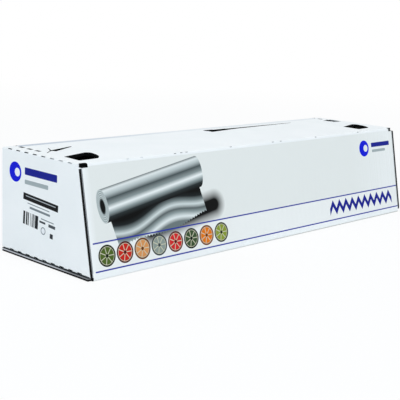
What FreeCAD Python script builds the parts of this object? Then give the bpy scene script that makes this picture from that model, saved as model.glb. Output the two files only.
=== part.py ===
import FreeCAD, Part
import math
import os

# Catering foil in its dispenser carton, closed and lying on its bottom, in millimetres.
# +X runs along the carton, the leaning front wall faces -Y, +Z is up.
# The origin is the middle of the bottom face.

# The wound foil and its core
foil_width = 400.0
foil_length = 200000.0
foil_gauge = 0.012
winding_fill = 0.92
foil_edge_step = 0.3
turn_bands = 7
turn_band_depth = 0.35
foil_edge_angle = 140.0
core_diameter = 36.0
core_wall = 2.5
core_fit = 0.1
core_overhang = 1.5

# The corrugated board and its folds
board = 2.8
inner_fold_radius = 0.5
outer_fold_radius = 1.6
flap_clearance = 0.3

# The carton round the roll
roll_end_clearance = 3.2
roll_rest_gap = 0.2
roll_headroom = 8.6
bottom_depth = 113.0
top_depth = 96.0
tuck_length = 34.0
tuck_side_clearance = 1.0
glue_flap_height = 32.0
glue_flap_end_inset = 6.0
glue_line = 0.15
glue_bead_inset = 6.0
glue_bead_end_inset = 12.0

# The left finger hole, measured from the carton's end and the lid's front fold
hole_corner = (10.7, 11.8)
hole_foot = (29.5, 13.2)
hole_bulge = (37.6, 22.3)
hole_shoulder = (41.0, 33.5)
hole_cheek = (40.8, 38.0)
hole_crown = (37.0, 39.4)
hole_tip = (11.8, 32.0)
hole_corner_radius = 1.5
hole_spacing = 358.0

# Cuts that make the board fold and tear
cut_pitch = 10.8
cut_length = 5.0
cut_width = 1.0
cut_row_margin = 9.7
cut_overrun = 0.3
bottom_cut_rise = 0.4
tear_row_from_end = 11.0
tear_row_cuts = 4
tear_cut_width = 2.3
nick_length = 2.6
nick_width = 0.7
nick_places = (48.0, 62.5, 98.5, 105.5, 111.5, 164.5, 220.0, 231.0, 282.5, 350.5)
corner_notch_length = 8.6
corner_notch_drop = 3.0
corner_notch_reach = 2.8

# The forked slit behind the left finger hole, measured from the carton's end and rear wall
fork_junction = (20.5, 36.5)
fork_rear_tip = (26.0, 25.5)
fork_front_tip = (12.0, 43.0)
fork_stem_end = (47.0, 27.5)
fork_arm_width = 0.9
fork_stem_wide = 3.0
fork_stem_narrow = 1.4
fork_lip_drop = 1.3

# The slit along the lid's hinge line, wide where it has come open and narrower beyond its waist
hinge_slit_from_rear = 15.8
hinge_slit_start = 217.0
hinge_slit_waist = 258.0
hinge_slit_end = 343.0
hinge_slit_wide = 3.6
hinge_slit_waist_width = 1.8
hinge_slit_narrow = 0.8
hinge_lip_drop = 1.6
hinge_waist_lip_drop = 0.6

# The torn stretch beside the far end's row of tear cuts, measured from the far end and the rear wall
torn_slit_from_end = 7.0
torn_slit_reach = (21.5, 34.5)
torn_slit_width = 2.4
torn_lip_drop = 1.4

# A slit's front lip is pressed down, and rises again at this slope
lip_slope = 0.1
least_lip_drop = 0.15

# The toothed strip inside the front wall
strip_thickness = 0.4
strip_height = 14.0
strip_end_inset = 4.0
strip_below_lid = 1.2
tooth_pitch = 5.0
tooth_height = 2.4
strip_seat_gap = 0.05

# Sizes that follow from those above
roll_diameter = math.sqrt(core_diameter ** 2 + 4.0 * foil_gauge * foil_length / (math.pi * winding_fill))
roll_radius = roll_diameter / 2.0
core_length = foil_width + 2.0 * core_overhang
fold_depth = board + inner_fold_radius
blade_reach = 2.0 * board + outer_fold_radius
punch_height = 3.0 * board
box_length = foil_width + 2.0 * (roll_end_clearance + board)
tuck_floor = board + flap_clearance
roll_floor = tuck_floor + board
box_height = roll_floor + roll_rest_gap + roll_diameter + roll_headroom + board
roll_axis_height = roll_floor + roll_rest_gap + roll_radius
end_x = box_length / 2.0
wall_end_x = end_x - board - flap_clearance
front_lean = math.atan2(bottom_depth - top_depth, box_height)
front_fold_setback = outer_fold_radius / math.tan((math.pi / 2.0 - front_lean) / 2.0) - outer_fold_radius
rear_y = (bottom_depth - front_fold_setback) / 2.0
bottom_front_y = rear_y - bottom_depth
top_front_y = rear_y - top_depth
lid_underside = box_height - board
punch_floor = lid_underside - board


def bent_path(points, radii):
    # Edges through the points in the section's plane, with a tangent arc at each inner point.
    edges = []
    start = FreeCAD.Vector(points[0][0], points[0][1], 0.0)
    for before, corner, after, radius in zip(points, points[1:], points[2:], radii):
        at = FreeCAD.Vector(corner[0], corner[1], 0.0)
        back = (FreeCAD.Vector(before[0], before[1], 0.0) - at).normalize()
        ahead = (FreeCAD.Vector(after[0], after[1], 0.0) - at).normalize()
        half = back.getAngle(ahead) / 2.0
        reach = radius / math.tan(half)
        middle = (back + ahead).normalize()
        arc_middle = at + middle * (radius / math.sin(half) - radius)
        arc_start = at + back * reach
        arc_end = at + ahead * reach
        if (arc_start - start).Length > 1e-6:
            edges.append(Part.LineSegment(start, arc_start).toShape())
        edges.append(Part.Arc(arc_start, arc_middle, arc_end).toShape())
        start = arc_end
    end = FreeCAD.Vector(points[-1][0], points[-1][1], 0.0)
    edges.append(Part.LineSegment(start, end).toShape())
    return edges


def offset_points(points, distance):
    # The open path moved sideways to its left, with its corners where the moved lines meet.
    moved = []
    for first, second in zip(points, points[1:]):
        dx = second[0] - first[0]
        dy = second[1] - first[1]
        length = math.hypot(dx, dy)
        shift_x = -dy / length * distance
        shift_y = dx / length * distance
        moved.append(((first[0] + shift_x, first[1] + shift_y), (second[0] + shift_x, second[1] + shift_y)))
    result = [moved[0][0]]
    for (a, b), (c, d) in zip(moved, moved[1:]):
        ux, uy = b[0] - a[0], b[1] - a[1]
        vx, vy = d[0] - c[0], d[1] - c[1]
        share = ((c[0] - a[0]) * vy - (c[1] - a[1]) * vx) / (ux * vy - uy * vx)
        result.append((a[0] + ux * share, a[1] + uy * share))
    result.append(moved[-1][1])
    return result


def board_section(points):
    # A strip of board seen edge on: its outer face follows the points and its thickness lies to their left.
    inner = offset_points(points, board)
    folds = len(points) - 2
    outer_edges = bent_path(points, [outer_fold_radius] * folds)
    inner_edges = bent_path(inner, [inner_fold_radius] * folds)
    ends = []
    for outside, inside in ((points[0], inner[0]), (points[-1], inner[-1])):
        first = FreeCAD.Vector(outside[0], outside[1], 0.0)
        second = FreeCAD.Vector(inside[0], inside[1], 0.0)
        ends.append(Part.LineSegment(first, second).toShape())
    wire = Part.Wire(Part.__sortEdges__(outer_edges + inner_edges + ends))
    return Part.Face(wire)


def along_x(face, low_x, high_x):
    # A section drawn as (y, z) becomes a prism along X.
    turned = face.copy()
    turned.transformShape(FreeCAD.Matrix(0, 0, 1, low_x, 1, 0, 0, 0, 0, 1, 0, 0, 0, 0, 0, 1))
    return turned.extrude(FreeCAD.Vector(high_x - low_x, 0.0, 0.0))


def along_y(face, low_y, high_y):
    # A section drawn as (x, z) becomes a prism along Y.
    turned = face.copy()
    turned.rotate(FreeCAD.Vector(0, 0, 0), FreeCAD.Vector(1, 0, 0), 90.0)
    turned.translate(FreeCAD.Vector(0.0, high_y, 0.0))
    return turned.extrude(FreeCAD.Vector(0.0, low_y - high_y, 0.0))


def box_between(low, high):
    size = [b - a for a, b in zip(low, high)]
    return Part.makeBox(size[0], size[1], size[2], FreeCAD.Vector(low[0], low[1], low[2]))


def mirrored(shape):
    return shape.mirror(FreeCAD.Vector(0, 0, 0), FreeCAD.Vector(1, 0, 0))


def make_sleeve():
    # Rear wall, lid, front wall, bottom and glue flap: one strip wound round the roll.
    inside_rear = rear_y - board - glue_line
    path = [
        (rear_y, 0.0),
        (rear_y, box_height),
        (top_front_y, box_height),
        (bottom_front_y, 0.0),
        (inside_rear, 0.0),
        (inside_rear, glue_flap_height),
    ]
    sleeve = along_x(board_section(path), -wall_end_x, wall_end_x)
    for side in (-1.0, 1.0):
        reach = sorted((side * (wall_end_x - glue_flap_end_inset), side * end_x))
        trim = box_between(
            (reach[0], inside_rear - board, fold_depth),
            (reach[1], inside_rear + glue_line / 2.0, glue_flap_height + board),
        )
        sleeve = sleeve.cut(trim)
    bead = box_between(
        (-wall_end_x + glue_bead_end_inset, inside_rear, fold_depth + glue_bead_inset),
        (wall_end_x - glue_bead_end_inset, rear_y - board, glue_flap_height - glue_bead_inset),
    )
    return sleeve.fuse(bead)


def carton_outline():
    # The outer section as a solid bar over the whole length, with a round at each fold.
    raw_edge = (rear_y, 0.0)
    folds = [(rear_y, box_height), (top_front_y, box_height), (bottom_front_y, 0.0)]
    edges = bent_path([raw_edge] + folds + [raw_edge], [outer_fold_radius] * len(folds))
    return along_x(Part.Face(Part.Wire(edges)), -end_x, end_x)


def make_end_closure():
    # The left end: the lid's edge, the end flap that hangs from it, and the tuck above the bottom.
    path = [
        (-end_x + tuck_length, box_height),
        (-end_x, box_height),
        (-end_x, tuck_floor),
        (-end_x + tuck_length, tuck_floor),
    ]
    strip = along_y(board_section(path), bottom_front_y, rear_y)
    flap_zone = box_between((-end_x, bottom_front_y, 0.0), (-wall_end_x, rear_y, box_height))
    flap = strip.common(flap_zone).common(carton_outline())
    front_inside = bottom_front_y + fold_depth + board + tuck_side_clearance
    rear_inside = rear_y - 2.0 * board - glue_line - tuck_side_clearance
    tuck_zone = box_between(
        (-wall_end_x, front_inside, 0.0),
        (-end_x + tuck_length, rear_inside, roll_floor),
    )
    tongue = box_between((-end_x, bottom_front_y + fold_depth, 0.0), (-wall_end_x, rear_y, board))
    return flap.fuse(strip.common(tuck_zone)).fuse(tongue)


def lid_point(from_end, from_rear, height):
    return FreeCAD.Vector(-end_x + from_end, rear_y - from_rear, height)


def slit(start, end, width_start, width_end):
    # A straight slit through the lid between two points, with round ends.
    first = lid_point(start[0], start[1], punch_floor)
    second = lid_point(end[0], end[1], punch_floor)
    side = (second - first).cross(FreeCAD.Vector(0, 0, 1)).normalize()
    corners = [
        first + side * (width_start / 2.0),
        second + side * (width_end / 2.0),
        second - side * (width_end / 2.0),
        first - side * (width_start / 2.0),
    ]
    run = Part.Face(Part.makePolygon(corners + corners[:1])).extrude(FreeCAD.Vector(0, 0, punch_height))
    for centre, width in ((first, width_start), (second, width_end)):
        run = run.fuse(Part.makeCylinder(width / 2.0, punch_height, centre))
    return run


def wedge_between(first, second):
    # A solid with flat sides between two triangles.
    faces = [Part.Face(Part.makePolygon(corners + corners[:1])) for corners in (first, second)]
    for index in range(3):
        after = (index + 1) % 3
        side = [first[index], first[after], second[after], second[index], first[index]]
        faces.append(Part.Face(Part.makePolygon(side)))
    wedge = Part.Solid(Part.Shell(faces))
    return wedge if wedge.Volume > 0.0 else wedge.reversed()


def pressed_lip(start, end, drop_start, drop_end):
    # The wedge missing above a slit's right-hand lip, which lies lowest at the slit.
    up = FreeCAD.Vector(0, 0, 1)
    first = lid_point(start[0], start[1], box_height)
    second = lid_point(end[0], end[1], box_height)
    right = (second - first).cross(up).normalize()
    sections = []
    for place, drop in ((first, drop_start), (second, drop_end)):
        high = place + up * drop
        sections.append([place - up * drop, high + right * (2.0 * drop / lip_slope), high])
    return wedge_between(sections[0], sections[1])


def finger_hole():
    # A leaf whose point lies towards the carton's front corner and whose round end lies towards the middle.
    def at(place):
        return FreeCAD.Vector(-end_x + place[0], top_front_y + place[1], punch_floor)
    edges = [
        Part.LineSegment(at(hole_corner), at(hole_foot)).toShape(),
        Part.Arc(at(hole_foot), at(hole_bulge), at(hole_shoulder)).toShape(),
        Part.Arc(at(hole_shoulder), at(hole_cheek), at(hole_crown)).toShape(),
        Part.LineSegment(at(hole_crown), at(hole_tip)).toShape(),
        Part.LineSegment(at(hole_tip), at(hole_corner)).toShape(),
    ]
    punch = Part.Face(Part.Wire(edges)).extrude(FreeCAD.Vector(0, 0, punch_height))
    corner_edges = []
    for edge in punch.Edges:
        offset = edge.CenterOfMass - at(hole_corner)
        if abs(edge.BoundBox.ZLength - punch_height) < 1e-6 and math.hypot(offset.x, offset.y) < 0.01:
            corner_edges.append(edge)
    return punch.makeFillet(hole_corner_radius, corner_edges)


def fold_cut(centre, length_axis, length, width, turn_axis, turn):
    # A cut through a fold: a thin blade, as long as the cut, turned to cross the board at the bend.
    size = (width, length) if length_axis == "Y" else (length, width)
    low_corner = FreeCAD.Vector(-size[0] / 2.0, -size[1] / 2.0, -blade_reach)
    blade = Part.makeBox(size[0], size[1], 2.0 * blade_reach, low_corner)
    blade.rotate(FreeCAD.Vector(0, 0, 0), turn_axis, turn)
    blade.translate(centre)
    return blade


def cut_row(depth):
    # The places of evenly spaced cuts across a panel of this depth, from its middle.
    count = int((depth - 2.0 * cut_row_margin) / cut_pitch) + 1
    return [(index - (count - 1) / 2.0) * cut_pitch for index in range(count)]


def end_fold_cuts():
    # The rows of cuts along the end flap's upper and lower folds.
    cuts = []
    along_depth = FreeCAD.Vector(0, 1, 0)
    top_middle = rear_y - top_depth / 2.0
    upper_fold = FreeCAD.Vector(-end_x + inner_fold_radius, top_middle, box_height - inner_fold_radius)
    for place in cut_row(top_depth):
        centre = upper_fold + along_depth * place
        cuts.append(fold_cut(centre, "Y", cut_length, cut_width, along_depth, -45.0))
    for place in cut_row(bottom_depth):
        corner = FreeCAD.Vector(-end_x, place - cut_length / 2.0, tuck_floor + bottom_cut_rise)
        cuts.append(Part.makeBox(board + cut_overrun, cut_length, cut_width, corner))
    return cuts


def tear_cuts():
    # The row of cuts across the lid near its end. The first one crosses the rear fold.
    cut_x = -end_x + tear_row_from_end
    rear_fold = FreeCAD.Vector(cut_x, rear_y - inner_fold_radius, box_height - inner_fold_radius)
    cuts = [fold_cut(rear_fold, "X", tear_cut_width, cut_length, FreeCAD.Vector(1, 0, 0), -45.0)]
    for index in range(1, tear_row_cuts):
        front_end = rear_y - index * cut_pitch - cut_length / 2.0
        corner = FreeCAD.Vector(cut_x - tear_cut_width / 2.0, front_end, punch_floor)
        cuts.append(Part.makeBox(tear_cut_width, cut_length, punch_height, corner))
    return cuts


def forked_slit():
    # Two short arms and a longer stem that meet in a point.
    return [
        slit(fork_junction, fork_rear_tip, fork_arm_width, fork_arm_width),
        slit(fork_junction, fork_front_tip, fork_arm_width, fork_arm_width),
        slit(fork_junction, fork_stem_end, fork_stem_wide, fork_stem_narrow),
        pressed_lip(fork_junction, fork_stem_end, fork_lip_drop, least_lip_drop),
    ]


def hinge_slit():
    # The lid's hinge line where it has come open.
    start, waist, end = [
        (place, hinge_slit_from_rear) for place in (hinge_slit_start, hinge_slit_waist, hinge_slit_end)
    ]
    return [
        slit(start, waist, hinge_slit_wide, hinge_slit_waist_width),
        slit(waist, end, hinge_slit_waist_width, hinge_slit_narrow),
        pressed_lip(start, waist, hinge_lip_drop, hinge_waist_lip_drop),
        pressed_lip(waist, end, hinge_waist_lip_drop, least_lip_drop),
    ]


def torn_slit():
    # The board torn through between the far tear cuts and the end.
    place = box_length - torn_slit_from_end
    start, end = [(place, from_rear) for from_rear in torn_slit_reach]
    return [
        slit(start, end, torn_slit_width, torn_slit_width),
        pressed_lip(start, end, torn_lip_drop, torn_lip_drop),
    ]


def lid_nicks():
    # Places where the tear line along the lid's front fold has opened.
    nicks = []
    along = FreeCAD.Vector(1, 0, 0)
    fold = FreeCAD.Vector(-end_x, top_front_y + inner_fold_radius, box_height - inner_fold_radius)
    turn = 45.0 - math.degrees(front_lean) / 2.0
    for place in nick_places:
        nicks.append(fold_cut(fold + along * place, "X", nick_length, nick_width, along, turn))
    return nicks


def corner_notch():
    # The relief cut out of the corner where lid, front wall and end flap meet.
    low = (-end_x - board, top_front_y - board, box_height - corner_notch_drop)
    high = (-end_x + corner_notch_length, top_front_y + corner_notch_reach, box_height + board)
    return box_between(low, high)


def make_carton():
    left_end = make_end_closure()
    carton = make_sleeve().fuse([left_end, mirrored(left_end)])
    both_ends = [corner_notch()] + end_fold_cuts() + tear_cuts()
    tools = both_ends + [mirrored(tool) for tool in both_ends]
    tools += lid_nicks() + forked_slit() + hinge_slit() + torn_slit()
    # One punch cuts both finger holes, so the far one is the same way round and not mirrored.
    left_hole = finger_hole()
    right_hole = left_hole.copy()
    right_hole.translate(FreeCAD.Vector(hole_spacing, 0, 0))
    carton = carton.cut(tools + [left_hole, right_hole])
    return carton.removeSplitter()


def make_foil_roll():
    # The turns as one solid. Two half rounds with shifted centres make the spiral's outer step.
    half_step = foil_edge_step / 2.0
    low_end = FreeCAD.Vector(-roll_radius, 0, 0)
    top = FreeCAD.Vector(0, roll_radius, 0)
    below = FreeCAD.Vector(half_step, -roll_radius - half_step, 0)
    step_inside = FreeCAD.Vector(roll_radius, 0, 0)
    step_outside = FreeCAD.Vector(roll_radius + foil_edge_step, 0, 0)
    section = [
        Part.Arc(step_inside, top, low_end).toShape(),
        Part.Arc(low_end, below, step_outside).toShape(),
        Part.LineSegment(step_outside, step_inside).toShape(),
    ]
    roll = Part.Face(Part.Wire(section))
    roll.rotate(FreeCAD.Vector(0, 0, 0), FreeCAD.Vector(0, 0, 1), foil_edge_angle)
    roll = along_x(roll, -foil_width / 2.0, foil_width / 2.0)
    bore_radius = core_diameter / 2.0 + core_fit
    along = FreeCAD.Vector(1, 0, 0)
    roll = roll.cut(Part.makeCylinder(bore_radius, foil_width, along * (-foil_width / 2.0), along))
    band = (roll_radius - bore_radius) / (2.0 * turn_bands)
    for side in (-1.0, 1.0):
        start = along * (side * foil_width / 2.0)
        for index in range(turn_bands):
            inner_radius = bore_radius + 2 * index * band
            outer = Part.makeCylinder(inner_radius + band, turn_band_depth, start, along * -side)
            inner = Part.makeCylinder(inner_radius, turn_band_depth, start, along * -side)
            ring = outer.cut(inner) if index else outer
            roll = roll.cut(ring)
    roll.translate(FreeCAD.Vector(0, 0, roll_axis_height))
    return roll


def make_core_tube():
    along = FreeCAD.Vector(1, 0, 0)
    start = FreeCAD.Vector(-core_length / 2.0, 0, roll_axis_height)
    tube = Part.makeCylinder(core_diameter / 2.0, core_length, start, along)
    return tube.cut(Part.makeCylinder(core_diameter / 2.0 - core_wall, core_length, start, along))


def make_cutting_strip():
    # A flat toothed strip, drawn upright and then leant back against the front wall's inside.
    half = wall_end_x - strip_end_inset - corner_notch_length
    teeth = int(2.0 * half / tooth_pitch)
    half = teeth * tooth_pitch / 2.0
    points = [FreeCAD.Vector(half, 0, -strip_height), FreeCAD.Vector(-half, 0, -strip_height)]
    for index in range(teeth):
        left = -half + index * tooth_pitch
        points.append(FreeCAD.Vector(left, 0, -tooth_height))
        points.append(FreeCAD.Vector(left + tooth_pitch / 2.0, 0, 0))
    points.append(FreeCAD.Vector(half, 0, -tooth_height))
    strip = Part.Face(Part.makePolygon(points + points[:1])).extrude(FreeCAD.Vector(0, strip_thickness, 0))
    strip.rotate(FreeCAD.Vector(0, 0, 0), FreeCAD.Vector(1, 0, 0), -math.degrees(front_lean))
    top_z = lid_underside - strip_below_lid
    wall_face = (board + strip_seat_gap) / math.cos(front_lean)
    wall_y = top_front_y - math.tan(front_lean) * (box_height - top_z) + wall_face
    strip.translate(FreeCAD.Vector(0, wall_y, top_z))
    return strip


os.makedirs("parts", exist_ok=True)
nodes = {
    "carton": make_carton(),
    "foil_roll": make_foil_roll(),
    "core_tube": make_core_tube(),
    "cutting_strip": make_cutting_strip(),
}
for name, shape in nodes.items():
    shape.exportStep("parts/" + name + ".step")
    box = shape.BoundBox
    print(name, "solids", len(shape.Solids), "valid", shape.isValid(), "volume", round(shape.Volume))
    print("   x", round(box.XMin, 2), round(box.XMax, 2), "y", round(box.YMin, 2), round(box.YMax, 2))
    print("   z", round(box.ZMin, 2), round(box.ZMax, 2))
print("roll diameter", round(roll_diameter, 2), "box", box_length, bottom_depth, round(box_height, 2))
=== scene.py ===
# %% [markdown]
# # Catering foil in its dispenser carton
#
# The object is a long carton of corrugated board with a roll of aluminium foil inside. It lies closed
# on its bottom, with its narrow end and its leaning front wall towards us. The shapes are already
# made at their real size, so this lesson gives them their finishes: coated and printed board, its raw
# cut edges, bright foil, a board core and a strip of steel. Then it sets up light, floor and camera.

# %% Load the shapes
import math

import bmesh
import bpy
from mathutils import Matrix, Vector


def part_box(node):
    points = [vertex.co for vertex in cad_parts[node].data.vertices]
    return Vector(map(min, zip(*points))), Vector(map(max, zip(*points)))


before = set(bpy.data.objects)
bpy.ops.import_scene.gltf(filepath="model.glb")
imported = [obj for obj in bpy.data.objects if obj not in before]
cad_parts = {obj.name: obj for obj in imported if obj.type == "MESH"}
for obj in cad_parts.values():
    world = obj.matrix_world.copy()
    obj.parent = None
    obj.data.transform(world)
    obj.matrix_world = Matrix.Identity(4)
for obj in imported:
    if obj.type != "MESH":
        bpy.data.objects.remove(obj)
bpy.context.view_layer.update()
print("pieces:", sorted(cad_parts))

# %% [markdown]
# ## Sizes
#
# The carton's sizes are in millimetres, because print and board are measured in them. The overall
# size is read from the loaded carton. The board and its folds are the values that it was made with.

# %% The carton's sizes
millimetres = 1000.0
carton_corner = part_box("carton")[1]
end_x = carton_corner.x * millimetres
rear_y = carton_corner.y * millimetres
carton_height = carton_corner.z * millimetres
carton_length = 2.0 * end_x
bottom_depth = 113.0
top_depth = 96.0
board = 2.8
fold_depth = 3.3
flap_clearance = 0.3
front_foot_y = rear_y - bottom_depth
front_lean = math.atan2(bottom_depth - top_depth, carton_height)
front_normal = Vector((0.0, -math.cos(front_lean), math.sin(front_lean)))
front_up = Vector((0.0, math.sin(front_lean), math.cos(front_lean)))
print("the carton is", round(carton_length), "mm long")
print("its front wall leans", round(math.degrees(front_lean), 1), "degrees")

# %% [markdown]
# ## Small helpers
#
# Colours are written as sRGB hex values, as in any paint program. Shaders work in linear light, so
# one function converts them. A second function adds a shader node with its settings and links. An
# input can be a number, a colour, a socket or another node, whose first output is then meant.

# %% Colours and nodes
def linear(hex_colour):
    channels = [int(hex_colour[i:i + 2], 16) / 255.0 for i in (1, 3, 5)]
    return tuple(c / 12.92 if c <= 0.04045 else ((c + 0.055) / 1.055) ** 2.4 for c in channels) + (1.0,)


def add_node(tree, kind, inputs=None, **settings):
    node = tree.nodes.new(kind)
    for name, value in settings.items():
        setattr(node, name, value)
    for name, value in (inputs or {}).items():
        if isinstance(value, bpy.types.Node):
            value = value.outputs[0]
        if isinstance(value, bpy.types.NodeSocket):
            tree.links.new(value, node.inputs[name])
        else:
            node.inputs[name].default_value = value
    return node


print("middle grey #808080 is", round(linear("#808080")[0], 3), "in linear light")


# %% Materials and ramps
def new_material(name):
    material = bpy.data.materials.new(name)
    material.use_nodes = True
    tree = material.node_tree
    tree.nodes.clear()
    return material, tree


def set_ramp(ramp_node, stops, interpolation="LINEAR"):
    ramp = ramp_node.color_ramp
    ramp.interpolation = interpolation
    while len(ramp.elements) < len(stops):
        ramp.elements.new(0.5)
    for element, (position, colour) in zip(ramp.elements, stops):
        element.position = position
        element.color = linear(colour)
    return ramp_node

# %% [markdown]
# ## Shapes for the print
#
# A printer lays flat shapes of ink on the board. Each shape here is a mask, 1 inside and 0 outside,
# worked out from the distance to the shape's outline. The place is a vector in millimetres: how far
# along the panel, and how far up it. So every shape stays sharp at any size of picture.

# %% Masks of print shapes
ink_edge = 0.12
print("an edge of ink is soft over", 2.0 * ink_edge, "mm")


def inside(tree, distance, limit, blur=ink_edge):
    """1 where the distance is under the limit, with a soft step at it."""
    return add_node(tree, "ShaderNodeMapRange", {
        "Value": distance, "From Min": limit + blur, "From Max": limit - blur})


def where_all(tree, mask, *others):
    """1 only where every one of the masks is 1."""
    for other in others:
        mask = add_node(tree, "ShaderNodeMath", {0: mask, 1: other}, operation="MULTIPLY")
    return mask


def rounded_patch(tree, place, centre, half_size, corner, blur=ink_edge):
    """A rectangle with rounded corners. With a corner as large as its half size it is a disc."""
    flow = add_node(tree, "ShaderNodeVectorMath", {0: place, 1: (*centre, 0.0)}, operation="SUBTRACT")
    flow = add_node(tree, "ShaderNodeVectorMath", {0: flow}, operation="ABSOLUTE")
    core = (half_size[0] - corner, half_size[1] - corner, 0.0)
    flow = add_node(tree, "ShaderNodeVectorMath", {0: flow, 1: core}, operation="SUBTRACT")
    flow = add_node(tree, "ShaderNodeVectorMath", {0: flow, 1: (0.0, 0.0, 0.0)}, operation="MAXIMUM")
    reach = add_node(tree, "ShaderNodeVectorMath", {0: flow}, operation="LENGTH")
    return inside(tree, reach.outputs["Value"], corner, min(blur, corner))


# %% Ink over ink
def lay_over(tree, ground, layers):
    """The ground with each (mask, colour) of the layers on top of the ones before."""
    for mask, colour in layers:
        mix = add_node(tree, "ShaderNodeMix", {0: mask}, data_type="RGBA")
        for socket, value in ((mix.inputs[6], ground), (mix.inputs[7], colour)):
            if isinstance(value, str):
                socket.default_value = linear(value)
            else:
                tree.links.new(value, socket)
        ground = mix.outputs[2]
    return ground


def lay_patches(tree, place, ground, patches):
    """The ground with a patch for each row of a table: centre, half size, corner and colour."""
    return lay_over(tree, ground, [
        (rounded_patch(tree, place, centre, half_size, corner), colour)
        for centre, half_size, corner, colour in patches])

# %% [markdown]
# ## Which face of the board is it?
#
# The board is a white, clay-coated liner glued to a wavy medium and a second liner. The carton is one
# piece of mesh, so one material has to know which kind of face each point is on. First come the
# point's places: along and up the front wall, across the end, and across the lid.

# %% Where a point is
def carton_places(tree):
    coordinates = add_node(tree, "ShaderNodeTexCoord")
    at = add_node(tree, "ShaderNodeVectorMath", {
        0: coordinates.outputs["Object"], "Scale": millimetres}, operation="SCALE")
    x, y, z = add_node(tree, "ShaderNodeSeparateXYZ", {0: at}).outputs
    foot = add_node(
        tree, "ShaderNodeVectorMath", {0: at, 1: (-end_x, front_foot_y, 0.0)}, operation="SUBTRACT")
    along = add_node(tree, "ShaderNodeSeparateXYZ", {0: foot}).outputs[0]
    up = add_node(tree, "ShaderNodeVectorMath", {0: foot, 1: front_up}, operation="DOT_PRODUCT")
    past_front = add_node(tree, "ShaderNodeVectorMath", {0: foot, 1: front_normal}, operation="DOT_PRODUCT")
    from_rear = add_node(tree, "ShaderNodeMath", {0: rear_y, 1: y}, operation="SUBTRACT")
    return {
        "at": at, "x": x, "y": y, "height": z, "along": along, "from_rear": from_rear,
        "from_middle": add_node(tree, "ShaderNodeMath", {0: x}, operation="ABSOLUTE"),
        "past_front": past_front.outputs["Value"],
        "front_place": add_node(tree, "ShaderNodeCombineXYZ", {0: along, 1: up.outputs["Value"]}),
        "end_place": add_node(tree, "ShaderNodeCombineXYZ", {0: from_rear, 1: z}),
        "lid_place": add_node(tree, "ShaderNodeCombineXYZ", {0: along, 1: from_rear}),
    }


# %% Flap or sleeve
def carton_zones(tree, faces):
    middle_of_gap = end_x - board - flap_clearance / 2.0
    in_flap = add_node(
        tree, "ShaderNodeMath", {0: faces["from_middle"], 1: middle_of_gap}, operation="GREATER_THAN")
    above_bottom = add_node(
        tree, "ShaderNodeMath", {
            0: faces["height"], 1: board + flap_clearance / 2.0}, operation="GREATER_THAN")
    in_end = where_all(tree, in_flap, above_bottom)
    return {
        "in_flap": in_flap, "above_bottom": above_bottom, "in_end": in_end,
        "in_sleeve": add_node(tree, "ShaderNodeMath", {0: 1.0, 1: in_flap}, operation="SUBTRACT"),
        "not_in_end": add_node(tree, "ShaderNodeMath", {0: 1.0, 1: in_end}, operation="SUBTRACT"),
    }

# %% [markdown]
# A point's panel gives the way that is outwards there. How far the point has passed each panel's
# inner side says how much that panel's direction counts, so a fold gets a direction in between. A
# face that looks outwards or inwards is a liner, and one that looks sideways is a cut through the
# board.

# %% Which way is outwards
tuck_fold_z = board + flap_clearance + fold_depth
least_reach = 0.2
print("a fold reaches", fold_depth, "mm into the board's corner")


def outward_direction(tree, faces):
    side = add_node(tree, "ShaderNodeMath", {0: faces["x"]}, operation="SIGN")
    end_side = add_node(tree, "ShaderNodeMath", {0: faces["in_end"], 1: side}, operation="MULTIPLY")
    outwards = None
    for value, sign, limit, direction, share in (
        (faces["from_middle"], 1.0, end_x - fold_depth, (1.0, 0.0, 0.0), end_side),
        (faces["y"], 1.0, rear_y - fold_depth, (0.0, 1.0, 0.0), faces["in_sleeve"]),
        (faces["past_front"], 1.0, -fold_depth, front_normal, faces["in_sleeve"]),
        (faces["height"], 1.0, carton_height - fold_depth, (0.0, 0.0, 1.0), 1.0),
        (faces["height"], -1.0, fold_depth, (0.0, 0.0, -1.0), faces["not_in_end"]),
        (faces["height"], -1.0, tuck_fold_z, (0.0, 0.0, -1.0), faces["in_end"]),
    ):
        past = add_node(
            tree, "ShaderNodeMath", {0: value, 1: sign, 2: -sign * limit}, operation="MULTIPLY_ADD")
        past = add_node(tree, "ShaderNodeMath", {0: past, 1: 0.0}, operation="MAXIMUM")
        reach = add_node(tree, "ShaderNodeMath", {0: past, 1: share}, operation="MULTIPLY")
        step = add_node(tree, "ShaderNodeVectorMath", {0: direction, "Scale": reach}, operation="SCALE")
        if outwards is not None:
            step = add_node(tree, "ShaderNodeVectorMath", {0: outwards, 1: step}, operation="ADD")
        outwards = step
    reach = add_node(tree, "ShaderNodeVectorMath", {0: outwards}, operation="LENGTH").outputs["Value"]
    has_panel = add_node(tree, "ShaderNodeMath", {0: reach, 1: least_reach}, operation="GREATER_THAN")
    return add_node(tree, "ShaderNodeVectorMath", {0: outwards}, operation="NORMALIZE"), has_panel


# %% Which kind of face a point is on
facing_limit = 0.8
surface_tolerance = 0.1


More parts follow.
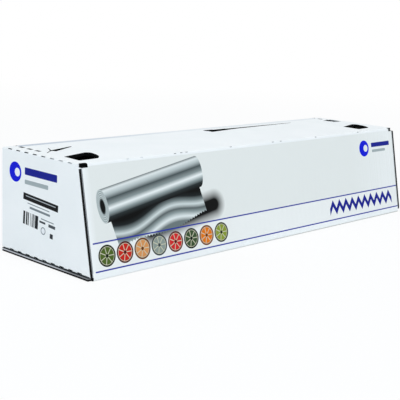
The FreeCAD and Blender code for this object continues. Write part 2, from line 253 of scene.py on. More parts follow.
def board_faces(tree):
    faces = carton_places(tree)
    faces.update(carton_zones(tree, faces))
    outwards, has_panel = outward_direction(tree, faces)
    true_normal = add_node(tree, "ShaderNodeNewGeometry").outputs["True Normal"]
    facing = add_node(tree, "ShaderNodeVectorMath", {
        0: outwards, 1: true_normal}, operation="DOT_PRODUCT").outputs["Value"]
    outer = add_node(tree, "ShaderNodeMath", {0: facing, 1: facing_limit}, operation="GREATER_THAN")
    sideways = add_node(tree, "ShaderNodeMath", {0: facing}, operation="ABSOLUTE")
    sideways = add_node(tree, "ShaderNodeMath", {0: sideways, 1: facing_limit}, operation="LESS_THAN")
    at_front = add_node(
        tree, "ShaderNodeMath", {0: faces["past_front"], 1: -surface_tolerance}, operation="GREATER_THAN")
    at_end = add_node(
        tree, "ShaderNodeMath", {0: faces["x"], 1: -end_x + surface_tolerance}, operation="LESS_THAN")
    faces["outer"] = outer
    faces["not_outer"] = add_node(tree, "ShaderNodeMath", {0: 1.0, 1: outer}, operation="SUBTRACT")
    faces["raw"] = where_all(tree, sideways, has_panel)
    faces["on_front"] = where_all(tree, at_front, faces["in_sleeve"], outer)
    faces["on_end"] = where_all(tree, at_end, faces["above_bottom"], outer)
    return faces

# %% [markdown]
# ## The print on the front wall
#
# A pale field fills the upper part, two blue lines run the whole length, and the band between them
# holds a row of round slices in vegetable colours. The large motif is a plain drawing of a foil roll
# with its sheet pulled out. A roll drawn in flat shapes needs only three things: bands of light and
# dark across the cylinder, an ellipse for its end, and a sheet whose tones run down it in soft waves.

# %% Sizes and colours of the front print
print_margin = 5.6
line_half_width = 0.56
upper_line_up = 27.7
lower_line_up = 6.5
field_top = 85.0
line_blue = "#303B9E"
bold_blue = "#0014D6"
deep_blue = "#141F8C"
mark_grey = "#A3AFB2"
pale_field = "#E8ECEA"
pale_band = "#F0F3F2"
print("the band between the blue lines is", round(upper_line_up - lower_line_up, 1), "mm high")

# %% The drawn sheet
roll_half_length = 52.0
sheet_drop = 36.0
sheet_inset = 3.0
sheet_slant = 0.12
wave_rate = 0.075
wave_start = 0.6
wave_height = 2.2
wave_tone = 0.1
hem_tooth_half_pitch = 1.5
hem_tooth_slope = 0.9
sheet_tones = [
    (0.34, "#050708"), (0.44, "#1C2224"), (0.53, "#7A8687"), (0.62, "#D2DCDC"),
    (0.72, "#5A6465"), (0.80, "#93A0A1"), (0.90, "#E4ECEC"), (1.0, "#6E7A7B")]


def drawn_sheet(tree, along, up):
    """The mask and the colour of the sheet that hangs below the roll's axis."""
    wave = add_node(
        tree, "ShaderNodeMath", {0: along, 1: wave_rate, 2: wave_start}, operation="MULTIPLY_ADD")
    wave = add_node(tree, "ShaderNodeMath", {0: wave}, operation="SINE")
    teeth = add_node(tree, "ShaderNodeMath", {0: along, 1: hem_tooth_half_pitch}, operation="PINGPONG")
    hem = add_node(tree, "ShaderNodeMath", {
        0: wave, 1: wave_height, 2: sheet_drop - hem_tooth_half_pitch}, operation="MULTIPLY_ADD")
    hem = add_node(tree, "ShaderNodeMath", {0: teeth, 1: hem_tooth_slope, 2: hem}, operation="MULTIPLY_ADD")
    below = add_node(tree, "ShaderNodeMath", {0: up, 1: -1.0}, operation="MULTIPLY")
    past_hem = add_node(tree, "ShaderNodeMath", {0: below, 1: hem}, operation="SUBTRACT")
    off_middle = add_node(
        tree, "ShaderNodeMath", {0: up, 1: sheet_slant, 2: along}, operation="MULTIPLY_ADD")
    off_middle = add_node(tree, "ShaderNodeMath", {0: off_middle}, operation="ABSOLUTE")
    sheet = where_all(
        tree, inside(tree, past_hem, 0.0), inside(tree, off_middle, roll_half_length - sheet_inset),
        inside(tree, up, 0.0))
    tone = add_node(tree, "ShaderNodeMath", {0: wave, 1: wave_tone}, operation="MULTIPLY")
    tone = add_node(
        tree, "ShaderNodeMath", {0: below, 1: 1.0 / sheet_drop, 2: tone}, operation="MULTIPLY_ADD")
    colour = set_ramp(add_node(tree, "ShaderNodeValToRGB", {0: tone}), sheet_tones)
    return sheet, colour.outputs[0]


# %% The drawn barrel
drawn_radius = 13.0
drawn_end_half_width = 5.2
print("the drawn roll is", 2.0 * roll_half_length, "mm long and", 2.0 * drawn_radius, "mm thick")
barrel_tones = [
    (0.0, "#07090A"), (0.14, "#2A3133"), (0.26, "#93A0A1"), (0.38, "#EEF4F4"),
    (0.50, "#8C9899"), (0.66, "#4A5456"), (0.80, "#B8C3C4"), (0.92, "#E4EAEA"), (1.0, "#5E696A")]


def drawn_barrel(tree, along, up, share_up):
    """The mask and the colour of the cylinder, whose far end bulges like its near one."""
    bulge = add_node(tree, "ShaderNodeMath", {0: share_up, 1: share_up}, operation="MULTIPLY")
    bulge = add_node(tree, "ShaderNodeMath", {0: 1.0, 1: bulge}, operation="SUBTRACT")
    bulge = add_node(tree, "ShaderNodeMath", {0: bulge, 1: 0.0}, operation="MAXIMUM")
    bulge = add_node(tree, "ShaderNodeMath", {0: bulge}, operation="SQRT")
    past_end = add_node(
        tree, "ShaderNodeMath", {0: bulge, 1: -drawn_end_half_width, 2: along}, operation="MULTIPLY_ADD")
    past_start = add_node(tree, "ShaderNodeMath", {0: along, 1: -1.0}, operation="MULTIPLY")
    off_axis = add_node(tree, "ShaderNodeMath", {0: up}, operation="ABSOLUTE")
    barrel = where_all(
        tree, inside(tree, past_end, roll_half_length), inside(tree, past_start, roll_half_length),
        inside(tree, off_axis, drawn_radius))
    height = add_node(
        tree, "ShaderNodeMath", {0: up, 1: 0.5 / drawn_radius, 2: 0.5}, operation="MULTIPLY_ADD")
    colour = set_ramp(add_node(tree, "ShaderNodeValToRGB", {0: height}), barrel_tones)
    return barrel, colour.outputs[0]


# %% The drawn foil roll
roll_centre = (70.0, 62.0, 0.0)
roll_tilt = math.radians(9.0)
shadow_centre = (26.0, -31.0)
shadow_half_size = (46.0, 9.0)
shadow_blur = 4.5
turn_half_share = 0.06
core_share = 0.48
bore_share = 0.38
share_blur = 0.02


def drawn_roll(tree, place, ground):
    turned = add_node(tree, "ShaderNodeVectorRotate", {
        "Vector": place, "Center": roll_centre, "Angle": -roll_tilt}, rotation_type="Z_AXIS")
    local = add_node(tree, "ShaderNodeVectorMath", {0: turned, 1: roll_centre}, operation="SUBTRACT")
    along, up, _ = add_node(tree, "ShaderNodeSeparateXYZ", {0: local}).outputs
    share_up = add_node(tree, "ShaderNodeMath", {0: up, 1: 1.0 / drawn_radius}, operation="MULTIPLY")
    shadow = rounded_patch(tree, local, shadow_centre, shadow_half_size, shadow_half_size[1], shadow_blur)

    # The near end: an ellipse, made a circle by measuring in shares of its half width and height.
    across = add_node(tree, "ShaderNodeMath", {0: along, 1: roll_half_length}, operation="ADD")
    across = add_node(
        tree, "ShaderNodeMath", {0: across, 1: 1.0 / drawn_end_half_width}, operation="MULTIPLY")
    round_place = add_node(tree, "ShaderNodeCombineXYZ", {0: across, 1: share_up})
    radius = add_node(tree, "ShaderNodeVectorMath", {0: round_place}, operation="LENGTH").outputs["Value"]
    face = inside(tree, radius, 1.0, share_blur)
    turns = add_node(tree, "ShaderNodeMath", {0: radius, 1: turn_half_share}, operation="PINGPONG")
    turns = where_all(tree, face, inside(tree, turns, turn_half_share / 2.0, share_blur))
    return lay_over(tree, ground, [
        (shadow, "#07090A"), drawn_sheet(tree, along, up), drawn_barrel(tree, along, up, share_up),
        (face, "#8E9A9B"), (turns, "#CCD5D5"),
        (inside(tree, radius, core_share, 1.5 * share_blur), "#4A5253"),
        (inside(tree, radius, bore_share, 1.5 * share_blur), "#0C0E0F"),
    ])


# %% The row of slices
slice_pitch = 17.8
slice_start = 9.0
slice_up = 17.1
slice_radius = 8.3
rind_width = 1.3
pith_width = 0.4
seed_radius = 1.4
spoke_half_width = 1.1
half_spokes = 3.5
slice_rinds = ("#1C2614", "#4E1210", "#6A3C18", "#3C464A", "#5A1012", "#141E18", "#74380E", "#26301A")
slice_flesh = ("#4E6428", "#C8281F", "#D8955A", "#8E9A94", "#D02A2C", "#3C5234", "#E2781C", "#8A9A3A")
slice_pith = "#CFCDB4"
slice_count = len(slice_rinds)
step_margin = 0.01
print(slice_count, "slices fill", round(slice_count * slice_pitch, 1), "mm of the band")


def drawn_slices(tree, place, ground):
    along, up, _ = add_node(tree, "ShaderNodeSeparateXYZ", {0: place}).outputs
    steps = add_node(tree, "ShaderNodeMath", {
        0: along, 1: 1.0 / slice_pitch, 2: -slice_start / slice_pitch}, operation="MULTIPLY_ADD")
    number = add_node(tree, "ShaderNodeMath", {0: steps}, operation="FLOOR")
    past_first = add_node(tree, "ShaderNodeMath", {0: number, 1: -0.5}, operation="GREATER_THAN")
    before_last = add_node(tree, "ShaderNodeMath", {0: number, 1: slice_count - 0.5}, operation="LESS_THAN")
    in_row = where_all(tree, past_first, before_last)
    part = add_node(tree, "ShaderNodeMath", {0: steps, 1: number}, operation="SUBTRACT")
    local_along = add_node(
        tree, "ShaderNodeMath", {0: part, 1: slice_pitch, 2: -slice_pitch / 2.0}, operation="MULTIPLY_ADD")
    local_up = add_node(tree, "ShaderNodeMath", {0: up, 1: slice_up}, operation="SUBTRACT")
    local = add_node(tree, "ShaderNodeCombineXYZ", {0: local_along, 1: local_up})
    radius = add_node(tree, "ShaderNodeVectorMath", {0: local}, operation="LENGTH").outputs["Value"]

    # The distance from the nearest spoke is the radius times the sine of the angle to it.
    spoke = add_node(tree, "ShaderNodeMath", {0: local_up, 1: local_along}, operation="ARCTAN2")
    spoke = add_node(tree, "ShaderNodeMath", {0: spoke, 1: half_spokes}, operation="MULTIPLY")
    spoke = add_node(tree, "ShaderNodeMath", {0: spoke}, operation="SINE")
    spoke = add_node(tree, "ShaderNodeMath", {0: spoke}, operation="ABSOLUTE")
    spoke = add_node(tree, "ShaderNodeMath", {0: spoke, 1: radius}, operation="MULTIPLY")
    wedge = add_node(
        tree, "ShaderNodeMath", {0: 1.0, 1: inside(tree, spoke, spoke_half_width)}, operation="SUBTRACT")
    share = add_node(
        tree, "ShaderNodeMath", {0: number, 1: 1.0 / slice_count, 2: step_margin}, operation="MULTIPLY_ADD")
    rind, flesh = [
        set_ramp(
            add_node(tree, "ShaderNodeValToRGB", {0: share}),
            [(index / slice_count, name) for index, name in enumerate(names)], "CONSTANT").outputs[0]
        for names in (slice_rinds, slice_flesh)]
    whole, pith, pulp, seeds = [
        where_all(tree, inside(tree, radius, limit), in_row)
        for limit in (
            slice_radius, slice_radius - rind_width, slice_radius - rind_width - pith_width, seed_radius)]
    return lay_over(tree, ground, [
        (whole, rind), (pith, slice_pith), (where_all(tree, pulp, wedge), flesh), (seeds, rind)])

# %% [markdown]
# The field and the band are plain ink. Near the right end the ink is rubbed thin on top of the
# flutes, which shows as upright pale streaks. The bold stripe at the right is a zigzag like the teeth
# of a cutting strip, and above it stands a round mark with two bars.

# %% Field and band
ink_starts = (3.5, 10.0)
rubbing_starts = (335.0, 395.0)
streak_width = 4.0
streak_tones = (0.42, 0.6)


def printed_fields(tree, place, along, ground):
    inked = add_node(tree, "ShaderNodeMapRange", {
        "Value": along, "From Min": ink_starts[0], "From Max": ink_starts[1]})
    streaks = add_node(tree, "ShaderNodeMath", {0: along, 1: 1.0 / streak_width}, operation="MULTIPLY")
    streaks = add_node(tree, "ShaderNodeTexNoise", {"W": streaks, "Detail": 2.0}, noise_dimensions="1D")
    streaks = add_node(tree, "ShaderNodeMapRange", {
        "Value": streaks, "From Min": streak_tones[0], "From Max": streak_tones[1]})
    near_right = add_node(tree, "ShaderNodeMapRange", {
        "Value": along, "From Min": rubbing_starts[0], "From Max": rubbing_starts[1]})
    rubbing_and_shade_share = where_all(tree, streaks, near_right)
    unrubbed = add_node(tree, "ShaderNodeMath", {0: 1.0, 1: rubbing_and_shade_share}, operation="SUBTRACT")
    layers = []
    for low, high, corner, blur, share, colour in (
        (upper_line_up, field_top, 0.5, 0.4, unrubbed, pale_field),
        (lower_line_up, upper_line_up, 0.2, ink_edge, 1.0, pale_band),
    ):
        half = (high - low) / 2.0
        field = rounded_patch(tree, place, (end_x, low + half), (carton_length, half), corner, blur)
        layers.append((where_all(tree, field, inked, share), colour))
    return lay_over(tree, ground, layers)


# %% Zigzag and mark
zigzag_pitch = 10.5
zigzag_height = 8.0
zigzag_middle = 18.0
zigzag_half_stroke = 1.75
zigzag_room = ((346.5, zigzag_middle), (52.5, 8.0), 0.2)
print("the zigzag has a tooth every", zigzag_pitch, "mm")
line_overrun = 2.0
front_marks = (
    ((358.0, 70.0), (8.0, 8.0), 8.0, bold_blue),
    ((360.6, 70.0), (3.4, 3.4), 3.4, pale_field),
    ((386.5, 72.5), (16.0, 2.2), 0.6, deep_blue),
    ((383.0, 66.5), (11.5, 1.3), 0.6, mark_grey),
)


def drawn_zigzag(tree, place, along, up):
    slope = 2.0 * zigzag_height / zigzag_pitch
    crest = add_node(tree, "ShaderNodeMath", {0: along, 1: zigzag_pitch / 2.0}, operation="PINGPONG")
    crest = add_node(tree, "ShaderNodeMath", {
        0: crest, 1: slope, 2: zigzag_middle - zigzag_height / 2.0}, operation="MULTIPLY_ADD")
    off_crest = add_node(tree, "ShaderNodeMath", {0: up, 1: crest}, operation="SUBTRACT")
    off_crest = add_node(tree, "ShaderNodeMath", {0: off_crest}, operation="ABSOLUTE")
    stroke = inside(tree, off_crest, zigzag_half_stroke * math.hypot(1.0, slope))
    return where_all(tree, stroke, rounded_patch(tree, place, *zigzag_room))


# %% All of the front print
def front_print(tree, faces, ground):
    place = faces["front_place"]
    along, up, _ = add_node(tree, "ShaderNodeSeparateXYZ", {0: place}).outputs
    colour = printed_fields(tree, place, along, ground)
    colour = drawn_roll(tree, place, colour)
    half_line = (carton_length - print_margin) / 2.0 + line_overrun
    colour = lay_patches(tree, place, colour, [
        ((print_margin + half_line, line_up), (half_line, line_half_width), 0.2, line_blue)
        for line_up in (upper_line_up, lower_line_up)])
    colour = drawn_slices(tree, place, colour)
    colour = lay_over(tree, colour, [(drawn_zigzag(tree, place, along, up), deep_blue)])
    return lay_patches(tree, place, colour, front_marks)

# %% [markdown]
# ## The print on the end
#
# The end flap carries a mark in blue and grey and a small stuck-on label that sits a little askew: a
# black bar, a few fine rules and a block of upright bars. Turning the place before asking for the
# shapes turns the whole label at once. Each column of the block is a bar or a gap by chance.

# %% The end print
label_turn = math.radians(-4.0)
print("the label is turned by", round(math.degrees(label_turn), 1), "degrees")
label_centre = (50.0, 40.0, 0.0)
bar_width = 0.62
gap_chance = 0.34
bar_block = ((38.6, 32.2), (10.0, 5.3), 0.1)
bar_black = "#1C2024"
label_black = "#101214"
label_grey = "#7C868B"
end_marks = (
    ((18.0, 68.0), (8.0, 8.0), 8.0, bold_blue),
    ((20.6, 68.0), (3.4, 3.4), 3.4, "#F1F5F9"),
    ((51.0, 70.5), (20.5, 2.9), 0.8, deep_blue),
    ((45.5, 62.0), (15.0, 1.7), 0.8, mark_grey),
)
label_marks = (
    ((50.3, 49.3), (22.2, 2.7), 0.1, label_black),
    ((50.3, 49.9), (19.0, 0.3), 0.1, "#B9C1C6"),
    ((48.0, 44.6), (14.0, 0.35), 0.1, label_grey),
    ((50.0, 41.6), (13.0, 0.9), 0.2, label_grey),
    ((60.0, 36.6), (8.0, 0.4), 0.1, label_grey),
    ((54.0, 34.0), (3.8, 0.8), 0.2, "#3A4045"),
    ((66.0, 33.6), (4.2, 1.2), 0.2, "#4A5055"),
    ((55.5, 27.6), (3.0, 3.0), 3.0, label_grey),
    ((55.5, 27.6), (2.2, 2.2), 2.2, "#EEF2F6"),
    ((66.0, 26.0), (1.9, 1.9), 0.3, "#2E3337"),
)


def end_print(tree, faces, ground):
    turned = add_node(tree, "ShaderNodeVectorRotate", {
        "Vector": faces["end_place"], "Center": label_centre, "Angle": -label_turn}, rotation_type="Z_AXIS")
    across = add_node(tree, "ShaderNodeSeparateXYZ", {0: turned}).outputs[0]
    column = add_node(tree, "ShaderNodeMath", {0: across, 1: 1.0 / bar_width}, operation="MULTIPLY")
    column = add_node(tree, "ShaderNodeMath", {0: column}, operation="FLOOR")
    chance = add_node(tree, "ShaderNodeTexWhiteNoise", {"W": column}, noise_dimensions="1D")
    bar = add_node(tree, "ShaderNodeMath", {0: chance, 1: gap_chance}, operation="GREATER_THAN")
    bars = where_all(tree, bar, rounded_patch(tree, turned, *bar_block))
    colour = lay_patches(tree, faces["end_place"], ground, end_marks)
    colour = lay_patches(tree, turned, colour, label_marks)
    return lay_over(tree, colour, [(bars, bar_black)])

# %% [markdown]
# ## Painted shade on the board
#
# Round the tear cuts, along the open slit and where its tearing began, the liner gets a dark
# painted shade that stands for the shade in these openings. Along the rear fold a soft grey stripe
# of painted shade stands for the shading of the rounded fold, fading along the lid. The front wall's
# foot gets a thin grey painted shade along its lowest edge, stronger towards the far end.

# %% Painted shade at cuts, rear fold and foot
cut_pitch = 10.8
tear_row_from_end = 11.0
tear_row_reach = 3.5 * cut_pitch
print("a row of tear cuts reaches", round(tear_row_reach, 1), "mm across the lid")
# Dark painted shade round the tear cuts, along the slit and at its start, standing for the shade in these
# openings.
shade_round_cut = ((tear_row_from_end, 0.0), (1.7, 3.0), 0.5, 0.4)
shade_along_slit = ((231.0, 15.8), (15.0, 2.1), 1.0, 0.6)
shade_at_slit_start = ((222.5, 15.2), (6.5, 3.1), 1.2, 0.4)
# A grey stripe of painted shade along the rear fold, standing for the shading of its rounding and fading
# along the lid.
rear_fold_shade_stripe = ((end_x, 4.8), (end_x - 12.0, 3.4), 1.0, 0.8)
rear_fold_shade_fade = (30.0, 190.0)
rear_fold_shade_shares = (0.8, 0.2)
# A thin grey painted shade along the front wall's foot, for the shading of its bottom fold.
foot_shade_up = 1.0
foot_blur = 0.7
foot_shade_fade = (60.0, 240.0)
foot_shade_least_share = 0.2
cut_painted_shade = "#2A2C2E"
rear_fold_shade_grey = "#B4BFCE"
foot_shade_grey = "#C6C9C3"


def painted_shade_on_board(tree, faces, ground):
    from_end = add_node(tree, "ShaderNodeMath", {0: end_x, 1: faces["from_middle"]}, operation="SUBTRACT")
    step = add_node(
        tree, "ShaderNodeMath", {0: faces["from_rear"], 1: cut_pitch / 2.0}, operation="PINGPONG")
    cut_place = add_node(tree, "ShaderNodeCombineXYZ", {0: from_end, 1: step})
    in_row = add_node(
        tree, "ShaderNodeMath", {0: faces["from_rear"], 1: tear_row_reach}, operation="LESS_THAN")
    round_cuts = where_all(tree, rounded_patch(tree, cut_place, *shade_round_cut), in_row)
    # The painted shade of the rear fold grows weaker along the lid.
    fade = add_node(tree, "ShaderNodeMapRange", {
        "Value": faces["along"], "From Min": rear_fold_shade_fade[0], "From Max": rear_fold_shade_fade[1],
        "To Min": rear_fold_shade_shares[0], "To Max": rear_fold_shade_shares[1]})
    rear_fold_shade = where_all(tree, rounded_patch(tree, faces["lid_place"], *rear_fold_shade_stripe), fade)
    slit_lips = rounded_patch(tree, faces["lid_place"], *shade_along_slit)
    slit_start = rounded_patch(tree, faces["lid_place"], *shade_at_slit_start)
    on_lid = add_node(
        tree, "ShaderNodeMath", {0: faces["height"], 1: carton_height - board}, operation="GREATER_THAN")
    # Lays the painted shade of the rear fold and of the cuts and slit on the lid.
    colour = lay_over(tree, ground, [
        (where_all(tree, mask, on_lid), tone) for mask, tone in (
            (rear_fold_shade, rear_fold_shade_grey), (round_cuts, cut_painted_shade),
            (slit_lips, cut_painted_shade), (slit_start, cut_painted_shade))])
    at_front = add_node(
        tree, "ShaderNodeMath", {0: faces["past_front"], 1: -fold_depth}, operation="GREATER_THAN")
    # The painted shade at the foot grows stronger towards the far end.
    rubbing_and_shade_share = add_node(tree, "ShaderNodeMapRange", {
        "Value": faces["along"], "From Min": foot_shade_fade[0], "From Max": foot_shade_fade[1],
        "To Min": foot_shade_least_share})
    foot = where_all(tree, inside(tree, faces["height"], foot_shade_up, foot_blur), at_front, rubbing_and_shade_share)
    return lay_over(tree, colour, [(foot, foot_shade_grey)])

# %% [markdown]
# ## Cut edges
#
# Where the sheet is cut, the open waves get a near-black painted shade, and the thin edges of the
# liners a dark painted shade for the gap at the flap's set-back edge. B flute has a wave about every
# 6.4 mm. On the end flap's foot the wave runs along the edge, and on the bottom's edge only the pale
# medium shows as a line, fading into the dark towards the front. The short cuts near the folds are
# too small for that, so they get one tone each: a grey painted light, turning to a near-white
# painted light towards the front.

# %% The wave between the liners
flute_pitch = 6.4
wave_margin = 0.4
paper_half_thickness = 0.3
liner_blur = 0.05
wave_blur = 0.1
print(round(carton_height / flute_pitch), "waves fit up the end flap")


def wavy_paper(tree, faces, depth):
    """The liners and the wave between them, where the end flap is cut."""
    level = add_node(tree, "ShaderNodeMath", {
        0: faces["height"], 1: 2.0 * math.pi / flute_pitch}, operation="MULTIPLY")
    level = add_node(tree, "ShaderNodeMath", {0: level}, operation="SINE")
    off_wave = add_node(tree, "ShaderNodeMath", {
        0: level, 1: wave_margin - board / 2.0, 2: depth}, operation="MULTIPLY_ADD")
    off_wave = add_node(tree, "ShaderNodeMath", {0: off_wave}, operation="ABSOLUTE")
    off_middle = add_node(tree, "ShaderNodeMath", {0: depth}, operation="ABSOLUTE")
    between_liners = inside(tree, off_middle, board / 2.0 - paper_half_thickness, liner_blur)
    liners = add_node(tree, "ShaderNodeMath", {0: 1.0, 1: between_liners}, operation="SUBTRACT")
    wave = inside(tree, off_wave, paper_half_thickness, wave_blur)
    paper = add_node(tree, "ShaderNodeMath", {0: liners, 1: wave}, operation="MAXIMUM")
    return where_all(tree, paper, faces["in_end"])


# %% Tones of the cut edges
bottom_medium_up = 1.85
bottom_medium_half = 0.45
bottom_medium_blur = 0.3
# The pale medium line fades into the dark ground towards the front.
medium_fading = (68.0, 92.0)
medium_faded_share = 0.4
paling = (40.0, 70.0)
paled_share = 0.9
inner_liner_depth = 0.8
cuts_below_lid = 4.5
notch_below_lid = 3.4
cuts_from_end = 6.0
nicks_from_end = 9.5
notch_from_rear = top_depth - 3.5
faint_nicks_end = 90.0
edge_shadow = "#0B0D0E"
# The liners' cut edges and the wave get a dark painted shade, standing for the shadow gap at the flap's
# edge.
liner_edge_shade = "#2E2F30"
inner_liner_grey = "#A0A4A8"
medium_grey = "#D4D5DA"
# Painted light: the walls of the cuts near the folds, of the notch and of the faint nicks are painted grey
# to near white, paler than their shade.
fold_cut_painted_light = "#7A8084"
front_cut_painted_light = "#F2F5F6"
notch_painted_light = "#F5F8FA"
nick_grey = "#A4A9AC"


def cut_edge(tree, faces):
    depth = add_node(tree, "ShaderNodeMath", {
        0: end_x - board / 2.0, 1: faces["from_middle"]}, operation="SUBTRACT")
    is_true = {}
    for name, value, test, limit in (
        ("deep", depth, "GREATER_THAN", inner_liner_depth),
        ("near_lid", faces["height"], "GREATER_THAN", carton_height - cuts_below_lid),
        ("near_top", faces["height"], "GREATER_THAN", carton_height - notch_below_lid),
        ("near_end", faces["from_middle"], "GREATER_THAN", end_x - cuts_from_end),
        ("off_end", faces["from_middle"], "LESS_THAN", end_x - nicks_from_end),
        ("at_notch", faces["from_rear"], "GREATER_THAN", notch_from_rear),
        ("left_half", faces["along"], "LESS_THAN", end_x),
        ("at_faint_nicks", faces["along"], "LESS_THAN", faint_nicks_end),
    ):
        is_true[name] = add_node(tree, "ShaderNodeMath", {0: value, 1: limit}, operation=test)
    off_notch = add_node(tree, "ShaderNodeMath", {0: 1.0, 1: is_true["at_notch"]}, operation="SUBTRACT")
    medium_share = add_node(tree, "ShaderNodeMapRange", {
        "Value": faces["from_rear"], "From Min": medium_fading[0], "From Max": medium_fading[1],
        "To Min": 1.0, "To Max": medium_faded_share})
    off_medium = add_node(
        tree, "ShaderNodeMath", {0: faces["height"], 1: bottom_medium_up}, operation="SUBTRACT")
    off_medium = add_node(tree, "ShaderNodeMath", {0: off_medium}, operation="ABSOLUTE")
    medium = where_all(
        tree, inside(tree, off_medium, bottom_medium_half, bottom_medium_blur), medium_share, faces["in_flap"])
    fold_cuts = where_all(tree, is_true["near_lid"], is_true["near_end"], off_notch)
    paler = add_node(tree, "ShaderNodeMapRange", {
        "Value": faces["from_rear"], "From Min": paling[0], "From Max": paling[1], "To Max": paled_share})
    nicks = where_all(tree, is_true["near_lid"], is_true["at_notch"], is_true["off_end"])
    notch = where_all(
        tree, is_true["near_top"], faces["in_flap"], is_true["at_notch"], is_true["left_half"])
    # Liner edges get a dark painted shade. The fold cuts, the notch and the faint nicks get painted light.
    return lay_over(tree, edge_shadow, [
        (wavy_paper(tree, faces, depth), liner_edge_shade),
        (where_all(tree, is_true["deep"], faces["in_end"]), inner_liner_grey),
        (medium, medium_grey),
        (fold_cuts, fold_cut_painted_light), (where_all(tree, fold_cuts, paler), front_cut_painted_light),
        (notch, notch_painted_light),
        (nicks, nick_grey), (where_all(tree, nicks, is_true["at_faint_nicks"]), notch_painted_light),
    ])

# %% [markdown]
# ## The whole board material
#
# Everything comes together here: white liner with its print, rubbed ink and painted shade, grey-brown
# liner inside, darkened as painted shade and given more painted shade low behind the end flaps, and
# the cut edges. The clay coating is smooth and nearly matt, and the waves beneath it show as a faint
# washboard. Its ridges run round the sleeve, so they are upright on the long panels and level on the
# end flaps. They are about two hundredths of a millimetre high, and a finer noise gives the paper its
# tooth.

# %% Washboard and paper grain
ridge_height = 0.012
print("ridges are", 2.0 * ridge_height, "mm from foot to top")
relief_strength = 0.6
paper_grain = 0.35
grain_share = 0.5


def board_relief(tree, faces):
    ridges = []
    for place in (faces["along"], faces["height"]):
        angle = add_node(
            tree, "ShaderNodeMath", {0: place, 1: 2.0 * math.pi / flute_pitch}, operation="MULTIPLY")
        ridges.append(add_node(tree, "ShaderNodeMath", {0: angle}, operation="SINE"))
    ridge = add_node(tree, "ShaderNodeMix", {0: faces["in_flap"], 2: ridges[0], 3: ridges[1]})
    grain = add_node(
        tree, "ShaderNodeTexNoise", {"Vector": faces["at"], "Scale": 1.0 / paper_grain, "Detail": 2.0})
    relief = add_node(
        tree, "ShaderNodeMath", {0: grain, 1: grain_share, 2: ridge}, operation="MULTIPLY_ADD")
    return add_node(tree, "ShaderNodeBump", {
        "Height": relief, "Strength": relief_strength, "Distance": ridge_height / millimetres})


# %% Corrugated board
mottle_size = 45.0
coating_whites = [(0.35, "#F3F7F8"), (0.65, "#F7FAFB")]
coating_roughness = 0.55
raw_roughness = 0.9
coating_shine = 0.08
# The inner liner is kraft brown, darkened as painted shade for the dark inside of the carton.
inner_liner_brown_and_shade = "#6E655B"
# Low behind the end flaps the inner liner gets a dark grey painted shade, for the shade in the gap.
gap_height = 5.0
gap_painted_shade = "#3A4248"


def corrugated_board():
    material, tree = new_material("white_coated_corrugated_board")
    faces = board_faces(tree)
    mottle = add_node(
        tree, "ShaderNodeTexNoise", {"Vector": faces["at"], "Scale": 1.0 / mottle_size, "Detail": 3.0})
    white = set_ramp(add_node(tree, "ShaderNodeValToRGB", {0: mottle}), coating_whites).outputs[0]
    colour = lay_over(tree, white, [
        (faces["on_front"], front_print(tree, faces, white)),
        (faces["on_end"], end_print(tree, faces, white))])
    colour = painted_shade_on_board(tree, faces, colour)
    # Painted shade on the inner faces low in the end flaps' gap.
    low = add_node(tree, "ShaderNodeMath", {0: faces["height"], 1: gap_height}, operation="LESS_THAN")
    in_gap = where_all(tree, low, faces["in_flap"], faces["not_outer"])
    colour = lay_over(tree, colour, [
        (faces["not_outer"], inner_liner_brown_and_shade), (in_gap, gap_painted_shade), (faces["raw"], cut_edge(tree, faces))])
    roughness = add_node(tree, "ShaderNodeMapRange", {
        "Value": faces["outer"], "To Min": raw_roughness, "To Max": coating_roughness})
    shader = add_node(tree, "ShaderNodeBsdfPrincipled", {
        "Base Color": colour, "Roughness": roughness, "IOR": 1.5, "Normal": board_relief(tree, faces),
        "Specular IOR Level": coating_shine})
    add_node(tree, "ShaderNodeOutputMaterial", {"Surface": shader})
    print(material.name, "has", len(tree.nodes), "nodes")
    return material

# %% [markdown]
# ## Foil, core and cutting strip
#
# Household foil is aluminium rolled to hundredths of a millimetre. Its bright side is a slightly soft
# mirror, drawn out along the direction of rolling. On the roll's ends the edges of the turns make fine
# rings. The core is grey-brown board wound in a spiral, and the strip is tinned steel with a grain
# along its length.

# %% A place measured from the roll's axis
def place_from_axis(tree, axis_height):
    coordinates = add_node(tree, "ShaderNodeTexCoord")
    return add_node(tree, "ShaderNodeMapping", {
        "Vector": coordinates.outputs["Object"],
        "Location": (0.0, 0.0, -axis_height * millimetres),
        "Scale": (millimetres, millimetres, millimetres)})


# %% Foil
turn_spacing = 0.6
turn_share = 0.3
roll_ends_x = 199.0
crease_size = (60.0, 9.0, 9.0)
streak_size = (0.8, 40.0, 40.0)
crease_height = 0.15
print("creases in the foil are up to", crease_height, "mm high")
foil_relief = 0.3
foil_roughness = (0.26, 0.36)
foil_colour = "#E9EBED"


